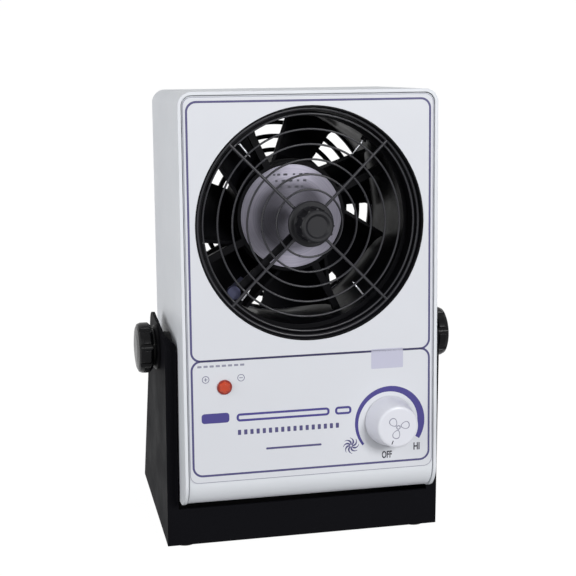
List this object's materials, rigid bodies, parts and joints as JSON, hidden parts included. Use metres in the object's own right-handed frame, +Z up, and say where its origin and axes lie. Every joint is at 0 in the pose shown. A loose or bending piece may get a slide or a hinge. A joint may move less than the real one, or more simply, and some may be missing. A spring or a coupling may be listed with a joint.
{
  "type": "ionizing air blower",
  "caption": "Benchtop ionizing air blower: leaning case with round grilled outlet, emitter needles, cleaner knob and speed dial, held between two flanged arms by lobed clamp knobs.",
  "frame": {"origin": "middle of the object's box at floor level, under the feet", "axes": "+Z up, +X to the right as seen from the front, +Y from the grille towards the rear"},
  "size_m": [0.174, 0.1342, 0.2418],
  "materials": {
    "black_steel": "satin black powder coat",
    "black_rubber": "matt rubber",
    "black_plastic": "fine matt black plastic",
    "gloss_black": "polished black plastic",
    "white_plastic": "smooth white plastic",
    "dial_white": "smooth off-white plastic",
    "lilac_print": "satin printed film",
    "rear_grey": "light grey paint",
    "steel": "bright steel",
    "black_wire": "black coated wire",
    "brass": "machined brass",
    "nylon": "natural nylon",
    "brush": "blue bristle block",
    "label_silver": "bare silver foil",
    "lamination": "varnished laminations",
    "board_green": "circuit board",
    "dark_parts": "potted and moulded parts",
    "lens_orange": "orange-red lens",
    "lead_red": "silicone lead"
  },
  "bodies": {
    "stand": {"stand_bracket": "black_steel", "foot_pads": "black_rubber"},
    "rotor": {"fan_rotor": "black_plastic", "fan_shaft": "steel"},
    "dial": {"speed_dial": "dial_white", "pot_shaft": "steel"},
    "cleaner": {"cleaner_knob": "black_plastic", "cleaner_shaft": "steel", "cleaner_arm": "black_plastic", "cleaner_brush": "brush"},
    "clamp_left": {"knob_left": "gloss_black", "stud_left": "steel", "disc_left": "black_plastic"},
    "clamp_right": {"knob_right": "gloss_black", "stud_right": "steel", "disc_right": "black_plastic"},
    "housing": {"spacer_left": "black_rubber", "spacer_right": "black_rubber", "insert_left": "brass", "insert_right": "brass", "case_shell": "white_plastic", "front_panel": "white_plastic", "front_overlay": "lilac_print", "rear_panel": "rear_grey", "panel_screws": "steel", "funnel_ring": "black_plastic", "emitter_ring": "black_plastic", "emitter_needles": "steel", "bus_ring": "brass", "front_grille": "black_wire", "cleaner_bush": "nylon", "fan_frame": "black_steel", "fan_spider": "black_steel", "fan_stator": "lamination", "fan_bearings": "steel", "fan_label": "label_silver", "rear_guard": "black_plastic", "fan_screws": "steel", "fan_nuts": "steel", "control_board": "board_green", "board_parts": "dark_parts", "board_screws": "steel", "potentiometer": "dark_parts", "pot_nut": "steel", "indicator_lens": "lens_orange", "indicator_body": "dark_parts", "hv_module": "dark_parts", "hv_lead": "lead_red", "inlet_body": "black_plastic", "inlet_pins": "brass", "inlet_screws": "steel", "ground_post": "brass", "ground_nut": "brass"}
  },
  "joints": [
    {"name": "case_tilt", "type": "hinge", "parent": "stand", "child": "housing", "pos_m": [0, -0.00178, 0.1002], "axis": [1, 0, 0], "range_deg": [-35, 30]},
    {"name": "fan_spin", "type": "hinge", "parent": "housing", "child": "rotor", "pos_m": [0, 0.01047, 0.1668], "axis": [0, 0.9792, -0.2028], "continuous": true},
    {"name": "dial_turn", "type": "hinge", "parent": "housing", "child": "dial", "pos_m": [0.042, -0.05033, 0.07043], "axis": [0, 0.9792, -0.2028], "range_deg": [0, 300]},
    {"name": "cleaner_turn", "type": "hinge", "parent": "housing", "child": "cleaner", "pos_m": [0, -0.02869, 0.17491], "axis": [0, 0.9792, -0.2028], "continuous": true},
    {"name": "clamp_left_turn", "type": "hinge", "parent": "housing", "child": "clamp_left", "pos_m": [0, -0.00178, 0.1002], "axis": [-1, 0, 0], "range_deg": [0, 360]},
    {"name": "clamp_right_turn", "type": "hinge", "parent": "housing", "child": "clamp_right", "pos_m": [0, -0.00178, 0.1002], "axis": [1, 0, 0], "range_deg": [0, 360]}
  ]
}
